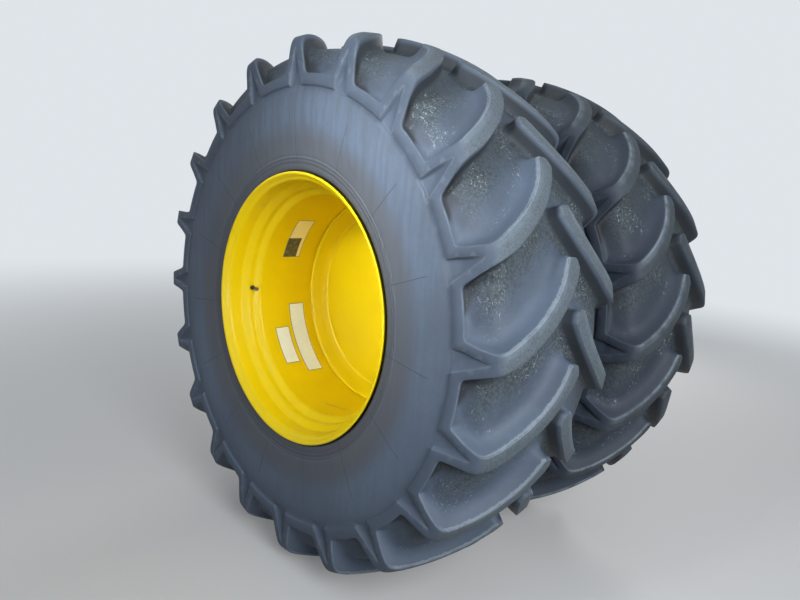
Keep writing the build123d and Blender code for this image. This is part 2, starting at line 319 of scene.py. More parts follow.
class Tread:
    """One pitch of the tread as a flat plan, and the height of every point of it."""

    def __init__(self):
        self.combs, self.rows, self.pockets = {}, {}, {}
        for side in (1, -1):
            lines, steeps = zip(*[comb(turn, side) for turn in lug_turns])
            line = np.vstack([part[:-1] for part in lines[:-1]] + [lines[-1]])
            steep = np.concatenate([part[:-1] for part in steeps])
            far = side * (tread_end + 200)
            loop = np.vstack([line, [[line[-1, 0], far], [line[0, 0], far]]])
            self.combs[side] = lines
            self.rows[side] = (line, steep, loop)
            for turn in lug_turns:
                corners = plan_corners(pocket, side, row_turn(side, turn))
                self.pockets[side, turn] = rounded(corners, pocket_step, closed=True)

    def edge_distance(self, points):
        """Distance outside the lugs' edges, negative on a lug's top."""
        out = np.full(len(points), far_off)
        within = np.zeros(len(points), bool)
        for line, _, loop in self.rows.values():
            out = np.minimum(out, distances(points, line))
            within |= inside(points, loop)
        return np.where(within, -out, out)

    def hollows(self, points, top_r):
        """Depth of the hollows in the lugs' feet, in mm, and distance from the hollows' edges."""
        end_w = run_at_r(pocket_end_r + 2)
        up = np.clip((top_r - foot_step_r[0]) / (pocket_apex_r - foot_step_r[0]), 0, 1)
        full = foot_step + (pocket_depth - foot_step) * up ** pocket_growth - foot_drop(top_r)
        full = np.maximum(full, 0)
        least = np.maximum(full, least_depth)
        lower_draft = np.interp(pocket_apex_r - top_r, [0, pocket_slot], pocket_lower_draft)
        depth = np.zeros(len(points))
        away = np.full(len(points), far_off)
        for (side, first), loop in self.pockets.items():
            closed = np.vstack([loop, loop[:1]])
            away = np.minimum(away, distances(points, closed))
            middle = (closed[1:] + closed[:-1]) / 2
            behind = plan_a(middle[:, 0], middle[:, 1]) - row_turn(side, first)
            on_foot = np.abs(middle[:, 1]) < end_w
            upper = distances(points, closed, on_foot & (behind <= pocket_split))
            lower = distances(points, closed, on_foot & (behind > pocket_split))
            deep = np.minimum(wall(upper, least, pocket_upper_draft, pocket_fillet),
                              wall(lower, least, lower_draft, pocket_fillet))
            depth = np.maximum(depth, np.where(inside(points, loop), np.minimum(deep, full), 0))
        return depth, np.where(np.abs(points[:, 1]) < end_w, away, far_off)

    def heights(self, points):
        """Share of the way down to the valley floor, the hollows' depth in mm, how near the gentle side is,
        and the distance from the nearest edge, in shares of edge_reach."""
        top_y, top_r, floor_y, floor_r = section_at(points[:, 1])
        depth = np.maximum(np.hypot(top_y - floor_y, top_r - floor_r), least_depth)
        signed = self.edge_distance(points)
        low = np.full(len(points), far_off)
        near = {True: low, False: low}
        for line, steep, _ in self.rows.values():
            for is_steep, (draft, fillet) in walls.items():
                d = distances(points, line, steep == is_steep)
                near[is_steep] = np.minimum(near[is_steep], d)
                low = np.minimum(low, wall(d, depth, draft, fillet))
        lee = near[True] / (near[True] + near[False])
        below = edge_drop + low * np.clip(1 - edge_drop / depth, 0, 1)
        below = np.where(signed <= 0, np.interp(signed, *edge_wear), below)
        share = np.clip(np.minimum(below, depth) / depth, 0, 1)
        hollow, away = self.hollows(points, top_r)
        edge = np.clip(np.minimum(np.abs(signed), away) / edge_reach, 0, 1)
        return share, hollow, lee, edge

    def mesh(self):
        """Points of one pitch and its triangles, with rings of points along every edge."""
        cut_line = rounded(plan_corners([(w, a, cut_radius) for w, a in cut]), cut_step)
        cut_turns = plan_a(cut_line[:, 0], cut_line[:, 1])
        rib_w = run_at_r(rib_r)
        step_w = [run_at_r(r) for r in np.linspace(*foot_step_r, 4)]
        ring_w = [side * (rib_w - d) for side in (1, -1) for d in edge_rings]
        ring_w += [side * w for side in (1, -1) for w in step_w]
        plain = [w for w in cut_line[:, 1]
                 if min(abs(w - r) for r in ring_w) > row_spare and abs(w) < tread_end - 1]
        ws = np.sort(np.concatenate([plain, ring_w, [tread_end, -tread_end]]))[::-1]
        order = np.argsort(cut_line[:, 1])
        turns = np.interp(ws, cut_line[order, 1], cut_turns[order])
        left = np.column_stack([plan_x(ws, turns), ws])
        right = np.column_stack([plan_x(ws, turns + pitch), ws])
        points = [*left, *right]
        n = len(left)
        edges = [(i, i + 1) for i in range(n - 1)] + [(n + i, n + i + 1) for i in range(n - 1)]
        for row in [0, n - 1] + [int(np.argmin(np.abs(ws - side * w))) for side in (1, -1) for w in step_w]:
            chain = [row, *range(len(points), len(points) + sidewall_columns - 1), n + row]
            for k in range(1, sidewall_columns):
                points.append(np.array([plan_x(ws[row], turns[row] + pitch * k / sidewall_columns), ws[row]]))
            edges += list(zip(chain, chain[1:]))

        def within(p, margin=0):
            lo = np.interp(p[:, 1], left[::-1, 1], left[::-1, 0])
            hi = np.interp(p[:, 1], right[::-1, 1], right[::-1, 0])
            return (p[:, 0] > lo + margin) & (p[:, 0] < hi - margin) & (np.abs(p[:, 1]) < tread_end - margin)

        def add_ring(ring, good, closed=False):
            good = good & within(ring, cut_spare)
            start = len(points)
            last = None
            for point, is_good in zip(ring, good):
                if is_good:
                    points.append(point)
                    if last is not None:
                        edges.append((last, len(points) - 1))
                last = len(points) - 1 if is_good else None
            if closed and good[0] and good[-1]:
                edges.append((last, start))

        for side, lines in self.combs.items():
            for line in lines:
                for d in edge_rings:
                    ring = beside(line, side * d)
                    near = self.edge_distance(ring)
                    add_ring(ring, near > d - edge_spare if d > 0 else near < d + edge_spare)
        for loop in self.pockets.values():
            x, w = loop.T
            area = np.sum(x * np.roll(w, -1) - np.roll(x, -1) * w)
            closed_line = np.vstack([loop, loop[:1]])
            for d in pocket_rings:
                ring = beside(loop, d * np.sign(area), closed=True)
                signed = np.where(inside(ring, loop), -1, 1) * distances(ring, closed_line)
                add_ring(ring, np.abs(signed - d) < pocket_spare, closed=True)
        structured = np.array(points)
        xs = np.arange(structured[:, 0].min(), structured[:, 0].max(), grid_x)
        grid_ws = np.arange(-tread_end + grid_margins[0], tread_end - grid_margins[1], grid_w)
        grid = np.array([(x + i % 2 * grid_x / 2, w) for i, w in enumerate(grid_ws) for x in xs])
        grid = grid[within(grid, grid_cut_clear)]
        close = np.array([np.min(np.hypot(*(structured - g).T)) for g in grid])
        loose = grid[close > grid_clear]
        plan = [Vector(p) for p in (*structured, *loose)]
        out, _, faces = delaunay_2d_cdt(plan, edges, [], 0, 1e-4)[:3]
        out = np.array([tuple(p) for p in out])
        faces = np.array([f for f in faces if len(f) == 3])
        faces = faces[within(out[faces].mean(1))]
        used = np.unique(faces)
        index = np.full(len(out), -1)
        index[used] = np.arange(len(used))
        return out[used], index[faces]


def tread_mesh():
    """Vertices (x, y, z) of a whole tread about Y in mm, its triangles, and the marks of each vertex."""
    tread = Tread()
    points, faces = tread.mesh()
    share, hollow, lee, edge = tread.heights(points)
    top_y, top_r, floor_y, floor_r = section_at(points[:, 1])
    sink = share + hollow / np.hypot(top_y - floor_y, top_r - floor_r)
    y = top_y + (floor_y - top_y) * sink - foot_drop(top_r)
    r = top_r + (floor_r - top_r) * sink
    angle = -plan_a(points[:, 0], points[:, 1])
    side = np.where(points[:, 1] >= 0, -1, 1)
    verts, tris = [], []
    for k in range(lug_count):
        turn = np.radians(angle + pitch * k)
        verts.append(np.column_stack([r * np.cos(turn), side * y, r * np.sin(turn)]))
        tris.append(faces + k * len(points))
    foot = foot_depth * (1 - smooth_share(top_r, *foot_step_r))
    level = np.maximum(np.maximum(share, hollow / pocket_mark), foot)
    marks = np.column_stack([level, lee, np.abs(points[:, 1]) / tread_end, edge])
    return np.vstack(verts), np.vstack(tris), np.tile(marks, (lug_count, 1))


# Meshes

def new_object(name, data):
    obj = bpy.data.objects.new(name, data)
    bpy.context.scene.collection.objects.link(obj)
    return obj


def mesh_object(name, verts, faces, sharp_over=None, merge=0.1, marks=None):
    """A smooth mesh object from points in metres, where points nearer than merge, in mm, become one."""
    mesh = bpy.data.meshes.new(name)
    mesh.from_pydata([tuple(map(float, v)) for v in verts], [], [tuple(map(int, f)) for f in faces])
    for mark, values in (marks or {}).items():
        mesh.attributes.new(mark, "FLOAT", "POINT").data.foreach_set("value", values.astype(np.float32))
    bm = bmesh.new()
    bm.from_mesh(mesh)
    bmesh.ops.remove_doubles(bm, verts=bm.verts, dist=merge * MM)
    bmesh.ops.recalc_face_normals(bm, faces=bm.faces)
    bm.to_mesh(mesh)
    bm.free()
    mesh.shade_smooth()
    if sharp_over:
        mesh.set_sharp_from_angle(angle=radians(sharp_over))
    return new_object(name, mesh)


def once_round(columns):
    return np.linspace(0, 2 * pi, columns, endpoint=False)


def ring_faces(rows, columns, base=0, closed=False):
    """Faces between rows of points that go once round. The first row starts at the point base."""
    faces = []
    for i in range(rows if closed else rows - 1):
        here = base + i * columns
        there = base + (i + 1) % rows * columns
        for k in range(columns):
            m = (k + 1) % columns
            faces.append((here + k, here + m, there + m, there + k))
    return faces


def revolved(name, profile, centre_y, columns=240, sharp_over=None):
    """A closed profile of (y, r) in mm turned about the axle. Its y counts from centre_y, in metres."""
    turns = once_round(columns)
    verts = [(r * cos(t), y + centre_y, r * sin(t)) for y, r in np.array(profile) * MM for t in turns]
    return mesh_object(name, verts, ring_faces(len(profile), columns, closed=True), sharp_over)


def finish_piece(obj, material, node=None, body="wheel", slot="wheel_paint"):
    """Gives a piece its material and its body, and hides the CAD node that it stands for. The slot is not
    used.
    """
    if node:
        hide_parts(node)
    obj.data.materials.append(material)
    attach(obj, body)


# Materials

class Nodes:
    """A short way to write the nodes of a material, or of another owner of a node tree."""

    def __init__(self, name, owner=None):
        self.material = owner or bpy.data.materials.new(name)
        self.material.use_nodes = True
        self.tree = self.material.node_tree
        self.shader = self.tree.nodes.get("Principled BSDF")
        self.place = self.add("ShaderNodeTexCoord").outputs["Generated" if owner else "Object"]
        self.colour = None

    def add(self, kind, *sources, **values):
        """A new node with its settings, and its first inputs set or linked in their order."""
        node = self.tree.nodes.new(kind)
        for key, value in values.items():
            setattr(node, key, value)
        for source, socket in zip(sources, node.inputs):
            self.wire(source, socket)
        return node

    def wire(self, source, socket):
        if isinstance(source, (int, float)):
            socket.default_value = source
        elif isinstance(source, tuple):
            socket.default_value = source if len(source) == len(socket.default_value) else (*source, 1)
        else:
            self.tree.links.new(source, socket)

    def fill(self, node, **values):
        """Sets or links a node's inputs by name, where _ stands for a space."""
        for key, value in values.items():
            self.wire(value, node.inputs[key.replace("_", " ")])

    def math(self, operation, a, b=0, c=0, clamp=False):
        return self.add("ShaderNodeMath", a, b, c, operation=operation, use_clamp=clamp).outputs[0]

    def mul(self, *factors):
        """The product of the factors, at most 1."""
        product = factors[0]
        for factor in factors[1:]:
            product = self.math("MULTIPLY", product, factor, clamp=True)
        return product

    def noise(self, scale, detail=4, roughness=0.55, place=None):
        node = self.add("ShaderNodeTexNoise")
        self.fill(node, Scale=scale, Detail=detail, Roughness=roughness, Vector=place or self.place)
        return node.outputs["Fac"]

    def ramp(self, value, low, high, start=0, end=1):
        given = (value, low, high, start, end)
        return self.add("ShaderNodeMapRange", *given, interpolation_type="SMOOTHSTEP").outputs[0]

    def fall(self, value, low, high):
        """1 up to low and 0 from high on."""
        return self.ramp(value, low, high, 1, 0)

    def mix(self, share, a, b):
        node = self.add("ShaderNodeMix", share, data_type="RGBA")
        self.wire(a, node.inputs[6])
        self.wire(b, node.inputs[7])
        return node.outputs[2]

    def bump(self, height, distance, strength):
        node = self.add("ShaderNodeBump")
        self.fill(node, Height=height, Distance=distance, Strength=strength)
        return node.outputs[0]

    def band(self, value, middle, half_width):
        """1 on a narrow line where the value is at the middle, and 0 away from it."""
        off = self.math("ABSOLUTE", self.math("SUBTRACT", value, middle))
        return self.fall(off, 0.6 * half_width, half_width)

    def attribute(self, name):
        return self.add("ShaderNodeAttribute", attribute_name=name).outputs["Fac"]

    def axis(self, name):
        return self.add("ShaderNodeSeparateXYZ", self.place).outputs[name]

    def seen(self):
        """1 for rays from the camera, in reflections and through glass."""
        ray = self.add("ShaderNodeLightPath")
        either = self.math("MAXIMUM", ray.outputs["Is Camera Ray"], ray.outputs["Is Glossy Ray"])
        return self.math("MAXIMUM", either, ray.outputs["Is Transmission Ray"])

    def scaled(self, x, y, z):
        """The place scaled along each axis. Noise runs in streaks along an axis with a small factor."""
        return self.add("ShaderNodeVectorMath", self.place, (x, y, z), operation="MULTIPLY").outputs[0]

    def radius(self, other="Z"):
        """Distance from the axis that is neither X nor the other."""
        x, y = self.axis("X"), self.axis(other)
        return self.math("SQRT", self.math("ADD", self.math("MULTIPLY", x, x), self.math("MULTIPLY", y, y)))

    def turn(self):
        """Angle about the axle, from +X towards +Z."""
        return self.math("ARCTAN2", self.axis("Z"), self.axis("X"))

    def layer(self, colour, *shares):
        """Lays a colour over what the surface has so far, as strong as the product of the shares."""
        self.colour = self.mix(self.mul(*shares), self.colour, colour)

    def done(self, **values):
        self.fill(self.shader, Base_Color=self.colour, **values)
        return self.material


tread_marks = ("tread_depth", "tread_lee", "tread_run", "tread_edge")
# Lines that the mould leaves across the sidewall, one between each two sectors
mould_sectors = 15
mould_first = 7  # degrees from +X to the middle of the first sector
mould_line = 1.3  # half width
# A scrape across the barrel of the outer rim: angles from +X, distances from the flange, and half its width
scuff_a = (-100.2, -77.7)
scuff_y = (231, 264)
scuff_half_width = 9


def mould_lines(n, r, run):
    """1 on the mould's lines across the sidewall."""
    turns = n.math("DIVIDE", n.turn(), 2 * pi)
    sector = n.math("MULTIPLY_ADD", turns, mould_sectors, mould_sectors - mould_first * mould_sectors / 360)
    arc = n.math("DIVIDE", n.math("MULTIPLY", r, 2 * pi), mould_sectors)
    off_line = n.math("MULTIPLY", n.math("SUBTRACT", n.math("FRACT", sector), 0.5), arc)
    return n.mul(n.band(off_line, 0, mould_line * MM), n.ramp(run, 1.10, 1.13), n.fall(run, 1.62, 1.66))


def rubber_material(name, dust):
    """Black rubber under field dust: grey and worn on the lugs' tops, slate blue on their gentle sides and
    the sidewall, a blue that is partly dust and partly a painted sky reflection, and olive dirt with pale
    flecks of mud on the valley floors. Less dust makes the whole rubber darker, which paints shade.

    tread_depth is 0 on a top and 1 on a floor, tread_lee 0 at a lug's steep side and 1 at its gentle side,
    and tread_run 1 where the tread meets the sidewall. tread_edge is 0 on an edge and 1 away from it."""
    n = Nodes(name)
    depth, lee, run, away = [n.attribute(mark) for mark in tread_marks]
    r = n.radius()
    cloud = n.noise(2.2, 5)
    patch = n.noise(9, 4, 0.6)
    fine = n.noise(55, 6, 0.65)
    grain = n.noise(330, 3, 0.6)
    n.colour = (0.022, 0.028, 0.040)

    # A film of dust all over, whose slate blue is partly a painted sky reflection, and brown dust near the
    # bead
    n.layer((0.124, 0.160, 0.222), n.ramp(cloud, 0.3, 0.7, 0.72), n.ramp(fine, 0.25, 0.75, 0.86),
            n.ramp(run, 0.9, 1.1, 0.74), n.ramp(r, 0.575, 0.700, 0.70), dust)
    n.layer((0.092, 0.091, 0.096), n.fall(r, 0.600, 0.690), n.ramp(cloud, 0.3, 0.6, 0.6), dust, 0.7)

    # Worn tops, dark steep sides, and painted shade in the recesses beside the lugs' feet
    on_face = n.fall(run, 0.58, 0.66)
    top = n.mul(n.fall(depth, 0.03, 0.10), on_face)
    worn = n.mix(n.ramp(n.noise(150, 5, 0.7), 0.35, 0.65), (0.068, 0.086, 0.102), (0.118, 0.142, 0.165))
    n.layer(n.mix(dust, (0.024, 0.030, 0.036), worn), top)
    n.layer((0.024, 0.028, 0.031), n.fall(lee, 0.10, 0.45), n.ramp(depth, 0.12, 0.35),
            n.fall(run, 0.84, 0.90), 0.85)
    # Painted shade in the recess beside each lug's foot
    n.layer((0.016, 0.018, 0.021), n.fall(lee, 0.34, 0.62), n.ramp(depth, 0.2, 0.5), n.ramp(run, 0.64, 0.74),
            n.fall(run, 0.86, 0.91), 0.80)

    # Dirt and flecks of mud on the valley floors
    floor = n.mul(n.ramp(depth, 0.75, 0.99), n.ramp(lee, 0.35, 0.75, 1, 0.12),
                  n.ramp(patch, 0.32, 0.6, 0.45), n.fall(run, 0.60, 0.80), 0.92)
    dirt = n.mix(n.ramp(n.noise(110, 4, 0.7), 0.35, 0.65), (0.021, 0.028, 0.031), (0.078, 0.094, 0.102))
    n.layer(dirt, floor)
    across = n.noise(230, 3, 0.6, n.scaled(1, 0.22, 1))
    along = n.noise(230, 3, 0.6, n.scaled(0.25, 1, 0.25))
    n.layer((0.29, 0.34, 0.38), n.ramp(n.math("MAXIMUM", across, along), 0.60, 0.68),
            n.ramp(patch, 0.50, 0.60), n.ramp(depth, 0.7, 0.95, 0, 0.85), n.ramp(run, 0.60, 0.80, 1, 0.3))

    # Pale edges: worn and with a painted highlight at the tops and in a ragged line down the gentle sides,
    # and worn on the lips of the feet
    n.layer((0.17, 0.205, 0.24), n.band(depth, 0.06, 0.075), n.ramp(lee, 0.5, 0.8, 0.2), on_face,
            n.ramp(n.noise(14, 3), 0.35, 0.6, 0.25))
    ragged = n.math("MULTIPLY_ADD", n.noise(75, 4, 0.7), 0.22, away)
    n.layer((0.25, 0.30, 0.35), n.band(ragged, 0.17, 0.045), n.ramp(lee, 0.5, 0.8), on_face,
            n.fall(depth, 0.5, 0.8), dust, 0.45)
    n.layer((0.20, 0.24, 0.28), n.fall(away, 0.04, 0.12), n.ramp(run, 0.60, 0.70),
            n.ramp(n.noise(20, 3), 0.35, 0.6, 0.4), 0.42, dust)

    # Mould lines and rain streaks on the sidewall, and the dark zone and black toe of the bead
    line = mould_lines(n, r, run)
    n.layer((0.016, 0.019, 0.023), line, 0.8)
    n.layer((0.068, 0.070, 0.074), n.ramp(n.noise(42, 3, 0.6, n.scaled(1, 1, 0.09)), 0.42, 0.62),
            n.ramp(run, 0.80, 1.05), n.ramp(n.axis("Z"), -0.3, 0.5, 0.35), 0.30)
    n.layer((0.040, 0.042, 0.047), n.ramp(r, 0.550, 0.560, 0.40, 0))
    n.layer((0.008, 0.009, 0.010), n.ramp(r, 0.512, 0.517, 0.85, 0))

    roughness = n.math("ADD", n.ramp(fine, 0.2, 0.8, 0.54, 0.66), n.mul(n.math("MAXIMUM", top, floor), 0.12))
    crumbs = n.mul(n.ramp(n.noise(120, 3, 0.6), 0.4, 0.7), floor)
    height = n.math("ADD", n.math("MULTIPLY", fine, 0.5), n.math("MULTIPLY", grain, 0.4))
    height = n.math("ADD", height, n.math("MULTIPLY", crumbs, 1.2))
    height = n.math("SUBTRACT", height, n.math("MULTIPLY", line, 0.8))
    return n.done(Roughness=roughness, Specular_IOR_Level=0.35, Normal=n.bump(height, 0.0012, 0.5))


def scuff(n):
    """1 on a slanted scrape across the barrel of the outer rim."""
    first_a, last_a = (radians(a) for a in scuff_a)
    first_y, last_y = ((flange_y + y) * MM for y in scuff_y)
    along = n.math("DIVIDE", n.math("SUBTRACT", n.turn(), first_a), last_a - first_a)
    line = n.math("MULTIPLY_ADD", along, last_y - first_y, first_y)
    ends = n.mul(n.ramp(along, 0, 0.3), n.fall(along, 0.8, 1))
    return n.mul(n.band(n.math("SUBTRACT", n.axis("Y"), line), 0, scuff_half_width * MM), ends, 0.6)


def paint_material(name, base, deep, dust_colour, dust_amount, scuffed=False):
    """Gloss machine paint with faint orange peel and a film of dust."""
    n = Nodes(name)
    cloud = n.noise(3, 4)
    fine = n.noise(60, 5, 0.6)
    n.colour = base
    n.layer(deep, n.ramp(cloud, 0.3, 0.7))
    n.layer(dust_colour, n.ramp(cloud, 0.40, 0.75), n.ramp(fine, 0.35, 0.7, 0.2), dust_amount)
    if scuffed:
        n.layer((0.46, 0.33, 0.10), scuff(n), n.ramp(n.noise(70, 4, 0.7), 0.35, 0.6))
    return n.done(Roughness=n.ramp(fine, 0.3, 0.7, 0.34, 0.46), Specular_IOR_Level=0.30, Coat_Weight=0.06,
                  Normal=n.bump(n.noise(260, 2), 0.0004, 0.25))


def plain_material(name, colour, roughness, metallic=0, scale=90, spread=1.35):
    """A small part's finish, paler in places by a factor."""
    n = Nodes(name)
    fine = n.noise(scale, 4, 0.6)
    n.colour = colour
    n.layer(tuple(min(1, c * spread + 0.01) for c in colour), n.ramp(fine, 0.4, 0.75))
    return n.done(Metallic=metallic, Roughness=n.ramp(fine, 0.3, 0.7, roughness, roughness + 0.12),
                  Normal=n.bump(fine, 0.0003, 0.4))


outer_rubber = rubber_material("outer_rubber", 1)
# The inner tyre's rubber has less dust, so it is darker all over: painted shade.
shaded_inner_rubber = rubber_material("shaded_inner_rubber", 0.22)
yellow_look = ((0.81, 0.60, 0.001), (0.77, 0.555, 0.001), (0.74, 0.58, 0.03), 0.08)
yellow = paint_material("yellow_paint", *yellow_look)
scraped_yellow = paint_material("scraped_yellow_paint", *yellow_look, scuffed=True)
green = paint_material("green_paint", (0.012, 0.165, 0.036), (0.008, 0.12, 0.028), (0.20, 0.21, 0.16), 0.5)
steel = plain_material("machined_steel", (0.45, 0.45, 0.46), 0.3, 1)
zinc = plain_material("zinc_plate", (0.62, 0.60, 0.55), 0.32, 1)
black_rubber = plain_material("black_rubber", (0.012, 0.012, 0.013), 0.5)
grey_cap = plain_material("grey_cap", (0.115, 0.095, 0.07), 0.45)
sticker_grey = plain_material("sticker_grey", (0.20, 0.19, 0.13), 0.4)
sticker_looks = {
    "sticker_white": plain_material("sticker_white", (0.80, 0.86, 0.84), 0.4, spread=1.05),
    "sticker_cream": plain_material("sticker_cream", (0.88, 0.79, 0.47), 0.4, spread=1.05),
    "sticker_dark": plain_material("sticker_dark", (0.075, 0.066, 0.045), 0.45, scale=60, spread=2.2),
}

# Sidewall below the tread, as half width and radius in mm, with its fine rings near the bead
sidewall = [(324.9 - foot_step_low, sidewall_top_r), (321.6, 765), (322.6, 748), (322.8, 728),
            (322, 700), (320, 670), (317, 640), (313.6, 610), (310.2, 582), (308.6, 570),
            (307.8, 566), (306.4, 564), (306.4, 562), (307.6, 559.5), (307, 554), (305.4, 552),
            (305.4, 549.5), (306.4, 547), (305.4, 540), (303.4, 537.5), (303.4, 535), (304.2, 532),
            (302.2, 522), (298, 512), (290, 505)]


tread_parts = tread_mesh()


def tyre(node, centre_y, nose, material):
    """A tyre's tread and its two sidewalls as one mesh."""
    verts, tris, marks = tread_parts
    turn = radians(nose)
    c, s = cos(turn), sin(turn)
    x, y, z = verts.T
    all_verts = [np.column_stack([x * c - z * s, y, x * s + z * c]) * MM]
    all_faces = [tuple(t) for t in tris]
    all_marks = [marks]
    columns = lug_count * sidewall_columns
    for side in (-1, 1):
        start = turn - radians(rib_middle if side < 0 else rib_middle + pitch / 2)
        turns = start + 2 * pi * np.arange(columns) / columns
        all_faces += ring_faces(len(sidewall), columns, sum(len(v) for v in all_verts))
        for y, r in np.array(sidewall) * MM:
            ring = [r * np.cos(turns), np.full(columns, side * y), r * np.sin(turns)]
            all_verts.append(np.column_stack(ring))
            past = 1 + (sidewall_top_r - r / MM) / tread_end
            all_marks.append(np.tile([foot_depth, foot_depth, past, 1], (columns, 1)))
    points = np.vstack(all_verts)
    points[:, 1] += centre_y
    marks = dict(zip(tread_marks, np.vstack(all_marks).T))
    obj = mesh_object(node + "_mesh", points, all_faces, merge=0.2, marks=marks)
    finish_piece(obj, material, node, slot="tyre")


# Rim: the open side from the lip to the barrel, as half width and radius
rim_face = [(306, 508), (309.6, 507.4), (311, 505), (310.4, 501), (307, 497), (301, 492.5),
            (296, 489), (291.5, 484.5), (287, 480.5), (280, 477.6), (262, 475.6), (240, 473.6),
            (234, 472.2), (222, 464), (210, 456.2), (203, 453.6), (191, 452), (185, 449.8),
            (176, 441.5), (167, 433.8), (160, 430.8), (150, 430)]
rim_back = [(303, 506), (300, 498), (294, 488), (285, 484.5), (236, 480), (160, 439)]
rim_steps = 3  # stretches of the smooth rim to each stretch of rim_face
# Disc: its dished face up to the rolled lip, and its back, as distance from the wheel's middle and radius
disc_face = [(171, 372), (170, 380), (166, 386.5), (140, 398.5), (112, 411), (105, 414.6),
             (101.5, 418.5), (100.5, 423), (102.5, 427.5), (105, 430)]
disc_back = [(128, 430), (150, 412), (182, 396), (187, 388)]
inner_bore = 160.2


def rim(node, centre_y, material):
    half = list(smooth_rows(rim_face, rim_steps))
    loop = half + [(-y, r) for y, r in half[::-1] + rim_back] + rim_back[::-1]
    finish_piece(revolved(node + "_mesh", loop, centre_y), material, node)


def disc(node, centre_y, side, bore):
    """The dished disc with its rolled and welded lip, open towards side."""
    loop = [(disc_face[0][0], bore), *disc_face, *disc_back, (disc_back[-1][0], bore)]
    loop = [(-side * y, r) for y, r in loop]
    finish_piece(revolved(node + "_mesh", loop, centre_y, sharp_over=50), yellow, node)


tyre("outer_tyre", outer_y, outer_nose, outer_rubber)
tyre("inner_tyre", inner_y, inner_nose, shaded_inner_rubber)
rim("outer_rim", outer_y, scraped_yellow)
rim("inner_rim", inner_y, yellow)
disc("outer_disc", outer_y, -1, 0)
disc("inner_disc", inner_y, 1, inner_bore)

# CAD nodes that show as they are, with bevelled edges
cad_looks = {
    "outer_valve": black_rubber, "inner_valve": black_rubber, "dual_spacer": yellow, "hub": green,
    "hub_cap": green, "final_drive_housing": green, "gear_case": green, "bearing_carrier": green,
    "input_cover": green,
}
bevel_width = 1.5
bevel_over = 40  # degrees
for node, look in cad_looks.items():
    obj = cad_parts[node]
    obj.data.materials.clear()
    obj.data.materials.append(look)
    bevel = obj.modifiers.new("edges", "BEVEL")
    bevel.width = bevel_width * MM
    bevel.segments = 2
    bevel.limit_method = "ANGLE"
    bevel.angle_limit = radians(bevel_over)
    bevel.harden_normals = True


# Small parts, in mm, on the faces of the frame's nodes

turned_columns = 24
weld_columns, weld_section = 480, 8
weld_ripples, ripple_share = 160, 0.10  # ripples once round, and their share of the bead's size
weld_waves, wave_share = 37, 0.05


def stacked(name, rings, places, material, **fittings):
    """Turned or hexagonal parts as one mesh: rings (height, radius by column) at places (point, axis)."""
    turns = once_round(turned_columns)
    verts, faces = [], []
    for point, axis in places:
        axis = Vector(axis).normalized()
        side = axis.cross((0, 1, 0) if abs(axis.y) < 0.5 else (0, 0, 1)).normalized()
        up = axis.cross(side)
        faces += ring_faces(len(rings), turned_columns, len(verts))
        for height, radius in rings:
            for turn, r in zip(turns, np.broadcast_to(radius, turned_columns)):
                out = side * cos(turn) + up * sin(turn)
                verts.append((Vector(point) + axis * height + out * float(r)) * MM)
    finish_piece(mesh_object(name, verts, faces, sharp_over=30), material, **fittings)


def hexagon(across):
    """Radius of a hexagon by column, from its width across the flats."""
    turns = once_round(turned_columns)
    corner = pi / 3
    return across / 2 / np.cos((turns + corner / 2) % corner - corner / 2)


def nut_rings(across, height, washer, stud=0):
    """A washer, a chamfered hexagon and the end of the stud in it."""
    hexes = hexagon(across)
    chamfer = 0.08 * across
    rings = [(0, washer), (0.12 * height, washer), (0.12 * height, hexes), (height - chamfer, hexes),
             (height, np.minimum(hexes, across * 0.49))]
    stud_r = across * 0.33
    if stud:
        rings += [(height, stud_r), (height + stud - 1.5, stud_r), (height + stud, stud_r - 1.5)]
    return rings + [(rings[-1][0], 0)]


def around(face_y, side, circle_r, count, first=0):
    """Places on a bolt circle, on a face that looks along side * Y."""
    turns = [radians(first + 360 * k / count) for k in range(count)]
    return [((circle_r * cos(t), face_y, circle_r * sin(t)), (0, side, 0)) for t in turns]


def radial(y, r, angle, inward=False):
    """A place that faces away from the axle, or towards it."""
    t = radians(angle)
    out = (cos(t), 0, sin(t))
    return ((r * out[0], y, r * out[2]), tuple(-v for v in out) if inward else out)


def weld(name, y, r, size):
    """A weld bead about the axle, with the ripples of its passes."""
    verts = []
    for k in range(weld_columns):
        turn = 2 * pi * k / weld_columns
        ripple = ripple_share * sin(weld_ripples * turn)
        fat = size * (1 + ripple + wave_share * sin(weld_waves * turn))
        for j in range(weld_section):
            a = 2 * pi * j / weld_section
            out = r + fat * cos(a)
            verts.append((out * cos(turn) * MM, (y + fat * sin(a)) * MM, out * sin(turn) * MM))
    faces = ring_faces(weld_columns, weld_section, closed=True)
    finish_piece(mesh_object(name, verts, faces), yellow)


def sticker(name, edges_y, edges_a, lift, material):
    """A thin sticker on the barrel of the outer rim, between two distances from the flange and two angles."""
    low, high = edges_y
    top_r = barrel_r - lift
    strip = [(low, barrel_r), (low, top_r), (high, top_r), (high, barrel_r)]
    verts, faces = [], []
    for a in np.radians(np.linspace(*edges_a, sticker_columns + 1)):
        verts += [(r * cos(a) * MM, (flange_y + y) * MM, r * sin(a) * MM) for y, r in strip]
    for k in range(sticker_columns):
        for j in range(4 * k, 4 * k + 3):
            faces.append((j, j + 1, j + 5, j + 4))
    finish_piece(mesh_object(name, verts, faces, sharp_over=30), material)


barrel_r = 430
sticker_columns = 24
sticker_edge = 3  # width of the grey outline of a sticker
outline_lift, field_lift = 0.5, 0.8
# Blank stickers on the barrel: name, distances from the flange, angles from +X, and fields, each with the
# shares of the angles and distances that it fills and its look
stickers = [
    ("upper", (240, 328), (134.2, 161.6), [
        (0, 0.52, 0, 1, "sticker_cream"),
        (0.52, 1, 0, 0.8, "sticker_dark"),
        (0.52, 1, 0.8, 1, "sticker_cream"),
    ]),
    ("strip_long", (295, 374), (190.8, 235), [(0, 1, 0, 1, "sticker_white")]),
    ("strip_short", (207, 278), (204.4, 227.6), [(0, 1, 0, 1, "sticker_white")]),
]


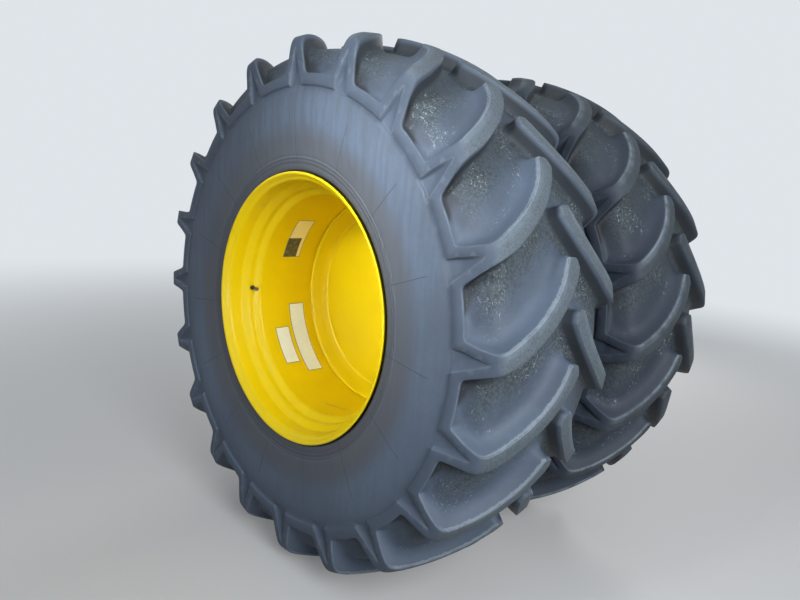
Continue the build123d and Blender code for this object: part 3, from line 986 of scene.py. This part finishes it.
def barrel_stickers():
    """The grey outline of each sticker, and its fields over it."""
    rim_a = degrees(sticker_edge / barrel_r)
    for name, (y0, y1), (a0, a1), fields in stickers:
        sticker("sticker_" + name, (y0, y1), (a0, a1), outline_lift, sticker_grey)
        span_y = y1 - y0 - 2 * sticker_edge
        span_a = a1 - a0 - 2 * rim_a
        for k, (*shares_a, y_low, y_high, look) in enumerate(fields):
            edges_y = [y0 + sticker_edge + span_y * share for share in (y_low, y_high)]
            edges_a = [a0 + rim_a + span_a * share for share in shares_a]
            sticker("sticker_%s_%d" % (name, k), edges_y, edges_a, field_lift, sticker_looks[look])


def valves():
    """Rubber foot and grey cap of each valve. The caps point at the axle."""
    foot = [(-4, 10), (1, 10), (4, 8), (9, 7), (9, 0)]
    cap = [(0, 6.2), (0.4, 6.9), (14, 6.9), (15.5, 5.6), (15.5, 0)]
    for node, angle in (("outer_valve", 180), ("inner_valve", 0)):
        y = middle_y(node) / MM
        tip, root = sorted(abs(corner.x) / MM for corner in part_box(node))
        stacked(node + "_foot", foot, [radial(y, root - 3, angle, True)], black_rubber, slot="valve")
        stacked(node + "_cap", cap, [radial(y, tip + 15, angle, True)], grey_cap, slot="valve")


def fastener(name, rings, places, body, material=zinc):
    stacked(name, rings, places, material, body=body, slot="bare_steel")


def fasteners():
    front, back = ends_y("gear_case")
    spacer_face = ends_y("dual_spacer")[1] - 20
    fastener("wheel_nuts", nut_rings(32, 19, 19.5, 9), around(spacer_face, -1, 214, 10), "wheel")
    fastener("cap_bolts", nut_rings(13, 7, 8), around(ends_y("hub_cap")[0], -1, 82, 6), "wheel")
    fastener("case_bolts", nut_rings(16, 10, 10.2), around(front, -1, 251, 18), "final_drive")
    fastener("case_nuts", nut_rings(16, 10, 10.2, 4), around(back, 1, 251, 18), "final_drive")
    recess = hexagon(7)
    screw = [(0, 9), (0.3, 9), (0.5, 8.6), (0.5, recess), (0.1, recess), (0.1, 0)]
    fastener("cover_screws", screw, around(0, 1, 100, 8, 22.5), "final_drive")
    middle = (front + back) / 2
    case_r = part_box("gear_case")[1].z / MM
    head = hexagon(22)
    plug = [(-3, 17), (2, 17), (3, 16), (3, head), (12, head), (13.5, 10.6), (13.5, 0)]
    fastener("oil_plugs", plug, [radial(middle, case_r, a) for a in (200, 270, 340)], "final_drive")
    head = hexagon(17)
    breather = [(-3, 9), (0, 9), (0, head), (7, head), (7, 6), (12, 6), (12, 11),
                (22, 11), (25, 8), (25.5, 0)]
    fastener("breather", breather, [radial(middle, case_r, 90)], "final_drive", steel)


def welds():
    low, high = ends_y("dual_spacer")
    weld("outer_disc_weld", outer_y / MM + 131, 427, 4.5)
    weld("inner_disc_weld", inner_y / MM - 131, 427, 4.5)
    weld("spacer_outer_weld", low + 21, 183, 5)
    weld("spacer_inner_weld", high - 21, 183, 5)
    weld("spacer_disc_weld", low + 1.5, 247, 4.5)


spline_teeth, spline_depth = 20, 2.6
spline_flank = 0.25  # share of a tooth's wave over which its flank falls
shaft_columns = 320


def splined_shaft():
    """The input shaft with its splines, a groove for the circlip and a centre hole."""
    low, high = ends_y("input_shaft")
    # Height, radius, and 1 where the splines are cut
    rows = [(low, 0, 0), (low, 31.5, 0), (low + 0.5, 32, 0), (0, 32, 0), (8, 24, 0),
            (18, 24, 0), (26, 24, 1), (high - 9, 24, 1), (high - 9, 20.8, 0),
            (high - 6.5, 20.8, 0), (high - 6.5, 24, 1), (high - 1.5, 24, 1), (high, 22, 0),
            (high, 5, 0), (high - 3, 3, 0), (high - 3, 0, 0)]
    turns = once_round(shaft_columns)
    groove = spline_depth * smooth_share(np.cos(spline_teeth * turns), -spline_flank, spline_flank)
    verts = []
    for y, r, splined in rows:
        out = r - groove * splined
        verts += [(x * MM, y * MM, z * MM) for x, z in zip(out * np.cos(turns), out * np.sin(turns))]
    obj = mesh_object("splined_shaft", verts, ring_faces(len(rows), shaft_columns), sharp_over=35)
    finish_piece(obj, steel, "input_shaft", body="input_shaft", slot="bare_steel")


barrel_stickers()
valves()
fasteners()
welds()
splined_shaft()


# Stage

floor_z = min(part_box("outer_tyre")[0].z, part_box("inner_tyre")[0].z) - 0.5 * MM
floor_half = 60
floor_dark, floor_pale, floor_glow = (0.16, 0.15, 0.14), (0.56, 0.55, 0.54), (0.14, 0.14, 0.14)
cove = (1.8, 9)  # distances over which the floor fades into the backdrop
backdrop_colour = (0.74, 0.78, 0.82)
sky_middle = (0.60, -0.60, 0.75)
sky_reach = (-0.30, 0.95)  # cosines of the angles from the sky's middle at which it is darkest and brightest
sky_dark, sky_bright = 0.03, 0.48
sky_colour = (0.80, 0.90, 1)
cool, warm, white = (0.93, 0.97, 1), (1, 0.99, 0.95), (1, 1, 1)
# Lamps: name, place, aim, width, watts, colour, spread in degrees
lamps = [
    ("key", (3.10, -2.30, 1.20), (0.4, outer_y, -0.1), 1.8, 86, cool, 180),
    ("shoulder", (0.45, -3.5, 1.35), (0.38, outer_y - 0.3, 0.42), 0.8, 5, cool, 36),
    ("dish", (0.9, -3.6, -0.2), (-0.26, outer_y, 0.05), 0.5, 0.94, warm, 40),
    ("back", (-1.9, 3.3, 1.5), (0, (outer_y + inner_y) / 2, 0), 1.6, 85, white, 180),
]
# Camera, fitted to the photo's rim, stickers and lug noses
camera_place = (1.8742, -2.8743, 0.4857)
camera_direction = (-0.68749, 0.70342, -0.18032)
camera_roll = 4.67  # degrees, counter-clockwise seen from behind
camera_lens = 27.9


def stage_floor():
    """A pale floor that fades into the backdrop, and is darker where it only lights the object."""
    low, high = -floor_half, floor_half
    verts = [(low, low, floor_z), (high, low, floor_z), (high, high, floor_z), (low, high, floor_z)]
    floor = mesh_object("floor", verts, [(0, 1, 2, 3)])
    n = Nodes("studio_floor")
    far = n.ramp(n.radius("Y"), *cove)
    n.colour = floor_dark
    n.layer(n.mix(far, floor_pale, (0, 0, 0)), n.seen())
    glow = n.mix(far, floor_glow, backdrop_colour)
    floor.data.materials.append(n.done(Roughness=0.8, Specular_IOR_Level=0, Emission_Color=glow,
                                       Emission_Strength=n.seen()))


def area_light(name, place, target, size, power, colour, spread):
    data = bpy.data.lights.new(name, "AREA")
    data.spread = radians(spread)
    data.shape = "DISK"
    data.size = size
    data.energy = power
    data.color = colour
    lamp = new_object(name, data)
    lamp.location = place
    lamp.rotation_euler = (Vector(target) - Vector(place)).to_track_quat("-Z", "Y").to_euler()


def world_light():
    """Soft sky, brightest high up behind the camera, and a plain pale backdrop that lights nothing."""
    world = bpy.data.worlds.new("studio")
    bpy.context.scene.world = world
    n = Nodes("studio", world)
    middle = tuple(Vector(sky_middle).normalized())
    toward = n.add("ShaderNodeVectorMath", n.place, middle, operation="DOT_PRODUCT").outputs["Value"]
    sky = n.ramp(toward, *sky_reach, sky_dark, sky_bright)
    background = n.tree.nodes["Background"]
    colour = n.mix(n.seen(), sky_colour, backdrop_colour)
    n.fill(background, Color=colour, Strength=n.math("MAXIMUM", sky, n.seen()))


def photo_camera():
    data = bpy.data.cameras.new("photo")
    data.lens = camera_lens
    data.sensor_width = 36
    data.clip_end = 100
    camera = new_object("photo", data)
    camera.location = camera_place
    facing = Vector(camera_direction).to_track_quat("-Z", "Y")
    camera.rotation_mode = "QUATERNION"
    camera.rotation_quaternion = facing @ Quaternion((0, 0, 1), radians(camera_roll))
    bpy.context.scene.camera = camera


stage_floor()
world_light()
for lamp in lamps:
    area_light(*lamp)
photo_camera()
bpy.context.scene.view_settings.view_transform = "Standard"
